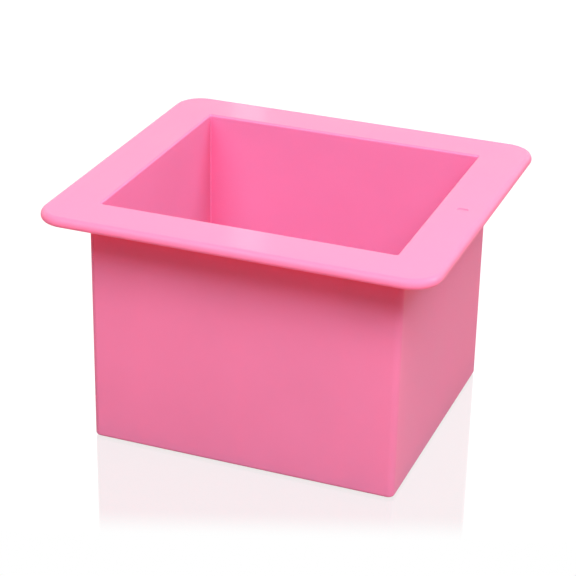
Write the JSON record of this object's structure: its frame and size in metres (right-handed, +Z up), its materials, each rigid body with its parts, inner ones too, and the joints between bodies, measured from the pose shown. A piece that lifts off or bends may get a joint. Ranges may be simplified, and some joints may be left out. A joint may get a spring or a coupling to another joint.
{
  "type": "soap loaf mould",
  "caption": "Square-sided silicone tub with straight walls, tight corners and a wide flat rim, for casting a short loaf of soap.",
  "frame": {"origin": "centre of the base, on the surface that the mould stands on", "axes": "+Z up, +X to the right along the longer side, -Y the front"},
  "size_m": [0.147, 0.135, 0.093],
  "materials": {
    "silicone": "satin"
  },
  "bodies": {
    "root": {"floor": "silicone", "front_left_corner": "silicone", "front_right_corner": "silicone", "back_right_corner": "silicone", "back_left_corner": "silicone"},
    "front": {"front_wall": "silicone"},
    "right": {"right_wall": "silicone"},
    "back": {"back_wall": "silicone"},
    "left": {"left_wall": "silicone"}
  },
  "joints": [
    {"name": "front_flex", "type": "hinge", "parent": "root", "child": "front", "pos_m": [0, -0.0525, 0.004], "axis": [1, 0, 0], "range_deg": [-4, 8], "stiffness_Nm_per_rad": 4},
    {"name": "right_flex", "type": "hinge", "parent": "root", "child": "right", "pos_m": [0.0585, 0, 0.004], "axis": [0, 1, 0], "range_deg": [-4, 8], "stiffness_Nm_per_rad": 4},
    {"name": "back_flex", "type": "hinge", "parent": "root", "child": "back", "pos_m": [0, 0.0525, 0.004], "axis": [-1, 0, 0], "range_deg": [-4, 8], "stiffness_Nm_per_rad": 4},
    {"name": "left_flex", "type": "hinge", "parent": "root", "child": "left", "pos_m": [-0.0585, 0, 0.004], "axis": [0, -1, 0], "range_deg": [-4, 8], "stiffness_Nm_per_rad": 4}
  ]
}
